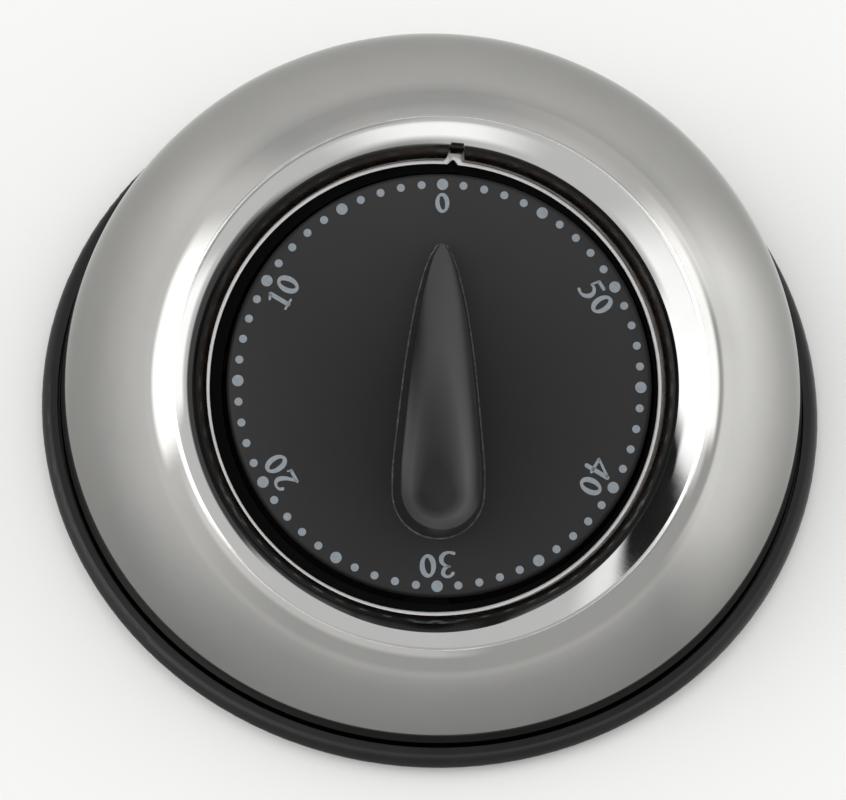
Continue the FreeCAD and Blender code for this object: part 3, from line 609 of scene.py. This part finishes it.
def printed_scale():
    """Sixty minute dots and a figure at every tenth."""
    bm = bmesh.new()
    for minute in range(60):
        angle = math.radians(90 + 6 * minute)
        radius = LARGE_DOT if minute % 5 == 0 else SMALL_DOT
        prism_mesh(bm, circle(radius, polar(DOT_CIRCLE, angle)), [], INK_LOW, INK_HIGH, DIAL_TURNED)
    for number, text in enumerate(("0", "10", "20", "30", "40", "50")):
        height = DIGIT_HEIGHT * (ZERO_SIZE if text == "0" else 1.0)
        base = DIGIT_BASE + (DIGIT_HEIGHT - height) * ZERO_SHIFT
        width = sum(FIGURE_WIDTH[f] for f in text) + FIGURE_GAP * (len(text) - 1)
        turn = Matrix.Rotation(math.radians(60 * number), 4, "Z")
        left = -width / 2
        for figure in text:
            for outline, holes in figure_shapes(figure):
                rings = [[((x + left) * height, base + y * height) for x, y in ring]
                         for ring in [outline] + holes]
                prism_mesh(bm, rings[0], rings[1:], INK_LOW, INK_HIGH, DIAL_TURNED @ turn)
            left += FIGURE_WIDTH[figure] + FIGURE_GAP
    return object_from("printed_scale", bm)


finish_piece(printed_scale(), "dial", "dial_plastic", ink)


# ---- the grip ----
GRIP_TIP = 14.85
GRIP_END = -16.3
GRIP_SPINE = (-11.6, 14.45)
# Half widths along the grip's length, from the wide end to the tip.
GRIP_FLANK = ((-11.6, 4.72), (-9.0, 4.72), (-5.8, 4.43), (-1.5, 3.98), (3.0, 3.44), (6.5, 2.90), (9.0, 2.43),
              (11.5, 1.80), (12.8, 1.40), (13.7, 1.05), (14.2, 0.76), (14.45, 0.54))
# The crown's height at the wide end, how far it falls to the tip, and the power of its fall.
GRIP_HIGH = 8.4
GRIP_FALL = 4.9
GRIP_CURVE = 1.5
# Points along a flank, round the wide end and round the tip; rows up the wall and over the arch.
FLANK_STEPS, WIDE_STEPS, TIP_STEPS = 44, 28, 14
WALL_ROWS, ARCH_ROWS = 6, 22
# The arch's rise as a share of the half width, and the wall's lean as a share of its height.
ARCH_RISE = 0.28
WALL_DRAFT = 0.07
# The seam round the grip's foot: its inner and outer edge from the wall, and its height.
SEAM_INNER, SEAM_OUTER, SEAM_RISE = 0.09, 0.25, 0.05


def flank_width(q):
    """Half the grip's width at a place along it."""
    line = spline(GRIP_FLANK, 10)
    for (q0, w0), (q1, w1) in zip(line, line[1:]):
        if q0 <= q <= q1:
            return w0 + (w1 - w0) * (q - q0) / (q1 - q0)
    return line[-1][1]


def grip_height(q):
    """The crown's height above the dial along the spine."""
    share = (q - GRIP_SPINE[0]) / (GRIP_SPINE[1] - GRIP_SPINE[0])
    return GRIP_HIGH - GRIP_FALL * share ** GRIP_CURVE


def grip_outline(grow=0.0):
    """[(outline point, spine point)] round the grip at the dial face."""
    low, high = GRIP_SPINE
    pairs = []
    for i in range(FLANK_STEPS):
        q = high + (low - high) * i / FLANK_STEPS
        pairs.append(((-(flank_width(q) + grow), q), (0.0, q)))
    wide_end = (flank_width(low) + grow, low - GRIP_END + grow)
    for i in range(WIDE_STEPS):
        angle = math.pi + math.pi * i / WIDE_STEPS
        pairs.append(((wide_end[0] * math.cos(angle), low + wide_end[1] * math.sin(angle)), (0.0, low)))
    for i in range(FLANK_STEPS):
        q = low + (high - low) * i / FLANK_STEPS
        pairs.append(((flank_width(q) + grow, q), (0.0, q)))
    tip = (flank_width(high) + grow, GRIP_TIP - high + grow)
    for i in range(TIP_STEPS):
        angle = math.pi * i / TIP_STEPS
        pairs.append(((tip[0] * math.cos(angle), high + tip[1] * math.sin(angle)), (0.0, high)))
    return pairs


def knob_grip():
    """A crowned teardrop: a steep drafted wall under a broad low arch."""
    pairs = grip_outline()
    rows = WALL_ROWS + ARCH_ROWS
    points = []
    for (x, y), (sx, sy) in pairs:
        reach = math.hypot(x - sx, y - sy)
        top = grip_height(sy)
        arch = ARCH_RISE * flank_width(sy)
        draft = WALL_DRAFT * (top - arch) / reach
        for r in range(WALL_ROWS):
            share = r / WALL_ROWS
            inward = draft * share
            points.append((x + (sx - x) * inward, y + (sy - y) * inward, DIAL_FACE + (top - arch) * share))
        for r in range(ARCH_ROWS):
            t = math.pi / 2 * r / (ARCH_ROWS - 1)
            inward = draft + (1.0 - draft) * (1.0 - math.cos(t))
            height = top - arch + arch * math.sin(t)
            points.append((x + (sx - x) * inward, y + (sy - y) * inward, DIAL_FACE + height))
    foot = tuple(c * rows for c in range(len(pairs)))
    faces = grid_faces(len(pairs), rows, False) + [foot]
    grip = mesh_from("grip", points, faces, DIAL_TURNED, 60.0)
    bm = bmesh.new()
    bm.from_mesh(grip.data)
    bmesh.ops.remove_doubles(bm, verts=bm.verts, dist=0.00001)
    bmesh.ops.recalc_face_normals(bm, faces=bm.faces)
    bm.to_mesh(grip.data)
    bm.free()
    return grip


def grip_seam():
    """The fine raised line round the foot of the grip."""
    inner = [pair[0] for pair in grip_outline(SEAM_INNER)]
    outer = [pair[0] for pair in grip_outline(SEAM_OUTER)]
    bm = bmesh.new()
    prism_mesh(bm, outer, [inner], INK_LOW, DIAL_FACE + SEAM_RISE, DIAL_TURNED)
    return object_from("grip_seam", bm)


finish_piece(knob_grip(), "dial", "grip_plastic", grip_plastic, "knob_grip")
finish_piece(grip_seam(), "dial", "dial_plastic", dusty_edge())


# ---- everything else keeps its frame shape ----
slot_of = {part["node"]: part["material_slot"] for part in frame["record"]["subparts"]}
for node, obj in frame["nodes"].items():
    dress(obj, carrier_plastic if node == "dial_carrier" else MATERIALS[slot_of[node]])


# ---- floor, light and camera ----
def floor():
    """A wide pale floor that the steel doesn't mirror; the painted surroundings stand in for it."""
    mesh = bpy.data.meshes.new("floor")
    bm = bmesh.new()
    bmesh.ops.create_grid(bm, x_segments=8, y_segments=8, size=4.0)
    bm.to_mesh(mesh)
    bm.free()
    obj = new_object("floor", mesh)
    n = Nodes("pale_floor")
    cloud = n.noise(30.0, 3.0)
    dress(obj, n.set(Base_Color=n.mix(cloud, (0.90, 0.90, 0.895, 1), (0.92, 0.92, 0.915, 1)), Roughness=0.75,
                     Specular_IOR_Level=0.2))
    obj.visible_glossy = False


# The studio turns about the way in which the crest of the shell faces: 14.8 degrees to the front of upright.
STUDIO = Matrix.Rotation(math.radians(14.8), 4, "X") @ Matrix.Rotation(math.radians(2.0), 4, "Y")


class Panels:
    """Soft light panels painted on a surface that surrounds the timer.

    A panel's around is its first edge, its width and the softness of its first and last edge, in degrees
    counter-clockwise from the back. Its along is its near edge, its far edge and the softness of each.
    """

    def __init__(self, tree, vector, along):
        self.tree = tree
        axes = [self.dot(vector, axis) for axis in STUDIO.to_3x3().transposed()]
        degrees = 180 / math.pi
        turn = self.calc("ARCTAN2", self.calc("MULTIPLY", axes[0], -1.0), axes[1])
        self.around = self.calc("FLOORED_MODULO", self.calc("MULTIPLY", turn, degrees), 360.0)
        # either degrees from the pole or millimetres along it
        if along == "degrees":
            self.along = self.calc("MULTIPLY", self.calc("ARCCOSINE", axes[2]), degrees)
        else:
            self.along = self.calc("MULTIPLY", axes[2], 1.0 / MM)

    def dot(self, vector, axis):
        node = self.tree.nodes.new("ShaderNodeVectorMath")
        node.operation = "DOT_PRODUCT"
        self.tree.links.new(vector, node.inputs[0])
        node.inputs[1].default_value = axis
        return node.outputs["Value"]

    def calc(self, operation, *values):
        node = self.tree.nodes.new("ShaderNodeMath")
        node.operation = operation
        for socket, value in zip(node.inputs, values):
            if isinstance(value, bpy.types.NodeSocket):
                self.tree.links.new(value, socket)
            else:
                socket.default_value = value
        return node.outputs[0]

    def ramp(self, value, low, high):
        """0 below low, 1 above high, smooth between."""
        node = self.tree.nodes.new("ShaderNodeMapRange")
        node.interpolation_type = "SMOOTHSTEP"
        self.tree.links.new(value, node.inputs[0])
        node.inputs[1].default_value = low
        node.inputs[2].default_value = high
        return node.outputs[0]

    def window(self, value, low, high, soft_low, soft_high):
        """1 between low and high, 0 outside, with a soft edge at each."""
        rise = self.ramp(value, low - soft_low, low + soft_low)
        fall = self.ramp(value, high - soft_high, high + soft_high)
        return self.calc("SUBTRACT", rise, fall)

    def paint(self, surround, panels):
        """The surround's level plus each panel's; a negative panel is a dark one."""
        total = surround
        for panel in panels:
            first, width, soft_first, soft_last = panel["around"]
            past_edge = self.calc("ADD", self.around, 360.0 + soft_first - first)
            turned = self.calc("FLOORED_MODULO", past_edge, 360.0)
            sideways = self.window(turned, soft_first, soft_first + width, soft_first, soft_last)
            lengthways = self.window(self.along, *panel["along"])
            lit = self.calc("MULTIPLY", self.calc("MULTIPLY", sideways, lengthways), panel["level"])
            total = self.calc("ADD", total, lit)
        return self.calc("MAXIMUM", total, DARKEST)


BACKDROP = 0.85
SKY_LEVEL = 0.62
DARKEST = 0.02
# "along" is in degrees from the studio's pole.
SKY_PANELS = (
    {"around": (61, 45, 9, 5), "along": (-9, 60, 1, 13), "level": 1.65},
    {"around": (82, 18, 6, 6), "along": (52, 69, 10, 7), "level": 0.45},
    {"around": (66, 60, 5, 6), "along": (-9, 6.5, 1, 1), "level": 1.3},
    {"around": (41, 89, 10, 25), "along": (-9, 112, 1, 22), "level": 0.38},
    {"around": (262, 48, 4, 10), "along": (-9, 34, 1, 7), "level": 1.45},
    {"around": (251, 14, 5, 5), "along": (-9, 18, 1, 8), "level": 0.6},
    {"around": (250, 60, 4, 5), "along": (-9, 6.5, 1, 1), "level": 1.0},
    {"around": (245, 62, 12, 10), "along": (50, 125, 7, 30), "level": 0.62},
    {"around": (292, 21, 7, 9), "along": (34, 52, 7, 8), "level": 0.75},
    {"around": (292, 22, 8, 9), "along": (50, 110, 8, 15), "level": 0.15},
    {"around": (305, 40, 12, 14), "along": (-9, 95, 1, 15), "level": 0.17},
    {"around": (115, 75, 8, 6), "along": (-9, 22, 1, 8), "level": 0.34},
    {"around": (320, 75, 20, 20), "along": (-9, 30, 1, 25), "level": 0.16},
    {"around": (275, 150, 30, 30), "along": (101, 200, 6, 1), "level": 0.18},
    {"around": (135, 110, 20, 20), "along": (72, 102, 10, 6), "level": 0.10},
    {"around": (110, 160, 30, 30), "along": (105, 200, 25, 1), "level": -0.17},
)


def sky():
    """Even grey surroundings with soft white panels to the left and right."""
    world = bpy.data.worlds.new("studio")
    bpy.context.scene.world = world
    world.use_nodes = True
    tree = world.node_tree
    panels = Panels(tree, tree.nodes.new("ShaderNodeTexCoord").outputs["Generated"], "degrees")
    level = panels.paint(SKY_LEVEL, SKY_PANELS)
    seen = tree.nodes.new("ShaderNodeLightPath").outputs["Is Camera Ray"]
    mixed = tree.nodes.new("ShaderNodeMix")
    tree.links.new(seen, mixed.inputs["Factor"])
    tree.links.new(level, mixed.inputs["A"])
    mixed.inputs["B"].default_value = BACKDROP
    background = tree.nodes["Background"]
    background.inputs["Color"].default_value = (1.0, 0.997, 0.985, 1)
    tree.links.new(mixed.outputs[0], background.inputs["Strength"])


HOOD_GAP = 0.3
HOOD_HEIGHT = 1500.0
HOOD_FLARE = math.radians(6.1)
HOOD_LEVEL = 1.0
# "along" is in millimetres up from the crest.
HOOD_PANELS = (
    {"around": (72, 38, 4, 6), "along": (3, 2000, 6, 1), "level": 1.15},
    {"around": (110, 18, 6, 12), "along": (25, 2000, 14, 1), "level": 1.05},
    {"around": (45, 24, 3, 4), "along": (0, 2000, 3, 1), "level": -1.0},
    {"around": (65, 13, 4, 4), "along": (0, 44, 2, 14), "level": -1.5},
    {"around": (34, 10, 5, 3), "along": (0, 2000, 3, 1), "level": 0.65},
    {"around": (167, 36, 12, 13), "along": (33, 300, 15, 140), "level": 0.98},
    {"around": (235, 85, 20, 6), "along": (-9, 34, 1, 7), "level": -0.90},
    {"around": (320, 22, 6, 8), "along": (-9, 14, 1, 5), "level": -0.88},
    {"around": (249, 33, 6, 3), "along": (70, 2000, 24, 1), "level": 1.1},
    {"around": (185, 60, 10, 10), "along": (-9, 18, 1, 10), "level": -0.40},
)


def hood():
    """A tall flared reflector that stands on the shell's crest and is seen only in reflections."""
    crest_r, crest_w = crest_centre()
    crest_w += CREST_RADIUS
    foot = TILT @ Vector((0, 0, crest_w * MM))
    place = Matrix.Translation(foot) @ STUDIO
    segments = 180
    points = []
    for i in range(segments):
        x, y = polar(crest_r, 2 * math.pi * i / segments)
        ring = place.inverted() @ TILT @ (Vector((x, y, crest_w)) * MM)
        spread = 1.0 + HOOD_HEIGHT / crest_r * math.tan(HOOD_FLARE)
        points += [ring + Vector((0, 0, HOOD_GAP * MM)),
                   Vector((ring.x * spread, ring.y * spread, ring.z + HOOD_HEIGHT * MM))]
    mesh = bpy.data.meshes.new("hood")
    mesh.from_pydata([STUDIO @ p for p in points], [], grid_faces(segments, 2, False))
    obj = new_object("hood", mesh)
    obj.location = foot
    material = bpy.data.materials.new("hood_cloth")
    material.use_nodes = True
    tree = material.node_tree
    tree.nodes.remove(tree.nodes["Principled BSDF"])
    glow = tree.nodes.new("ShaderNodeEmission")
    glow.inputs["Color"].default_value = (0.985, 0.985, 1.0, 1)
    panels = Panels(tree, tree.nodes.new("ShaderNodeTexCoord").outputs["Object"], "millimetres")
    tree.links.new(panels.paint(HOOD_LEVEL, HOOD_PANELS), glow.inputs["Strength"])
    tree.links.new(glow.outputs[0], tree.nodes["Material Output"].inputs["Surface"])
    material.cycles.emission_sampling = "NONE"
    dress(obj, material)
    obj.visible_camera = False
    obj.visible_diffuse = False
    obj.visible_transmission = False
    obj.visible_volume_scatter = False
    obj.visible_shadow = False


# The camera looks at the shell's centre from the front and above; the aim shift is across and up its view.
CAMERA_DISTANCE = 0.2936
CAMERA_AZIMUTH = math.radians(3.9)
CAMERA_ELEVATION = math.radians(65.2)
CAMERA_ROLL = math.radians(6.7)
AIM_SHIFT = (-0.0009, 0.0005)
LENS = 106.4


def camera():
    centre = Vector((0, 0, SHELL_CENTRE_Z * MM))
    away = Vector((-math.sin(CAMERA_AZIMUTH) * math.cos(CAMERA_ELEVATION),
                   -math.cos(CAMERA_AZIMUTH) * math.cos(CAMERA_ELEVATION), math.sin(CAMERA_ELEVATION)))
    level = Vector((math.cos(CAMERA_AZIMUTH), -math.sin(CAMERA_AZIMUTH), 0))
    upright = away.cross(level)
    right = level * math.cos(CAMERA_ROLL) + upright * math.sin(CAMERA_ROLL)
    up = away.cross(right)
    place = centre + away * CAMERA_DISTANCE + right * AIM_SHIFT[0] + up * AIM_SHIFT[1]
    data = bpy.data.cameras.new("camera")
    data.lens = LENS
    data.sensor_width = 36.0
    data.sensor_fit = "HORIZONTAL"
    data.clip_start = 0.01
    data.clip_end = 20.0
    obj = bpy.data.objects.new("camera", data)
    basis = Matrix((right, up, away)).transposed().to_4x4()
    obj.matrix_world = Matrix.Translation(place) @ basis
    bpy.context.scene.collection.objects.link(obj)
    bpy.context.scene.camera = obj


floor()
sky()
hood()
camera()
bpy.context.scene.view_settings.view_transform = "Standard"
